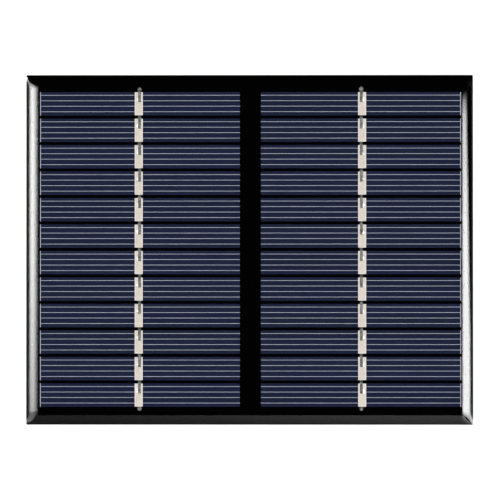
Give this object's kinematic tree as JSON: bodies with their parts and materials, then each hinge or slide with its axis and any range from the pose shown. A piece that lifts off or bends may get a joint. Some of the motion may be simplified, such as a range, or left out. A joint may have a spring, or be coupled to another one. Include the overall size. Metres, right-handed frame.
{
  "type": "solar panel",
  "caption": "Small rectangular solar panel: silicon strips joined in series on a board, potted under clear domed resin, with two solder pads on the back.",
  "frame": {"origin": "on the underside, at the centre of the board", "axes": "+X along the cell strips, +Y across them towards the negative end, +Z out of the sun side"},
  "size_m": [0.115, 0.09, 0.0028],
  "materials": {
    "laminate": "sawn glass-epoxy",
    "solder_mask": "gloss black",
    "copper": "plated",
    "solder": "bright tin",
    "ink": "printed",
    "tape": "matt black",
    "silver": "fired silver paste",
    "silicon": "blue anti-reflection coat",
    "tinned_ribbon": "dull tin",
    "resin": "clear gloss"
  },
  "bodies": {
    "root": {"back_solder_mask": "solder_mask", "board_core": "laminate", "bonding_tapes": "tape", "bottom_end_tabs": "tinned_ribbon", "cell_left_01": "silicon", "cell_left_02": "silicon", "cell_left_03": "silicon", "cell_left_04": "silicon", "cell_left_05": "silicon", "cell_left_06": "silicon", "cell_left_07": "silicon", "cell_left_08": "silicon", "cell_left_09": "silicon", "cell_left_10": "silicon", "cell_left_11": "silicon", "cell_left_12": "silicon", "cell_right_01": "silicon", "cell_right_02": "silicon", "cell_right_03": "silicon", "cell_right_04": "silicon", "cell_right_05": "silicon", "cell_right_06": "silicon", "cell_right_07": "silicon", "cell_right_08": "silicon", "cell_right_09": "silicon", "cell_right_10": "silicon", "cell_right_11": "silicon", "cell_right_12": "silicon", "end_solder_joints": "solder", "epoxy_cover": "resin", "front_solder_mask": "solder_mask", "negative_copper": "copper", "polarity_marks": "ink", "positive_copper": "copper", "ribbon_left_01": "tinned_ribbon", "ribbon_left_02": "tinned_ribbon", "ribbon_left_03": "tinned_ribbon", "ribbon_left_04": "tinned_ribbon", "ribbon_left_05": "tinned_ribbon", "ribbon_left_06": "tinned_ribbon", "ribbon_left_07": "tinned_ribbon", "ribbon_left_08": "tinned_ribbon", "ribbon_left_09": "tinned_ribbon", "ribbon_left_10": "tinned_ribbon", "ribbon_left_11": "tinned_ribbon", "ribbon_right_01": "tinned_ribbon", "ribbon_right_02": "tinned_ribbon", "ribbon_right_03": "tinned_ribbon", "ribbon_right_04": "tinned_ribbon", "ribbon_right_05": "tinned_ribbon", "ribbon_right_06": "tinned_ribbon", "ribbon_right_07": "tinned_ribbon", "ribbon_right_08": "tinned_ribbon", "ribbon_right_09": "tinned_ribbon", "ribbon_right_10": "tinned_ribbon", "ribbon_right_11": "tinned_ribbon", "series_link_copper": "copper", "silver_grids": "silver", "terminal_solder": "solder", "top_end_tabs": "tinned_ribbon"}
  },
  "joints": []
}
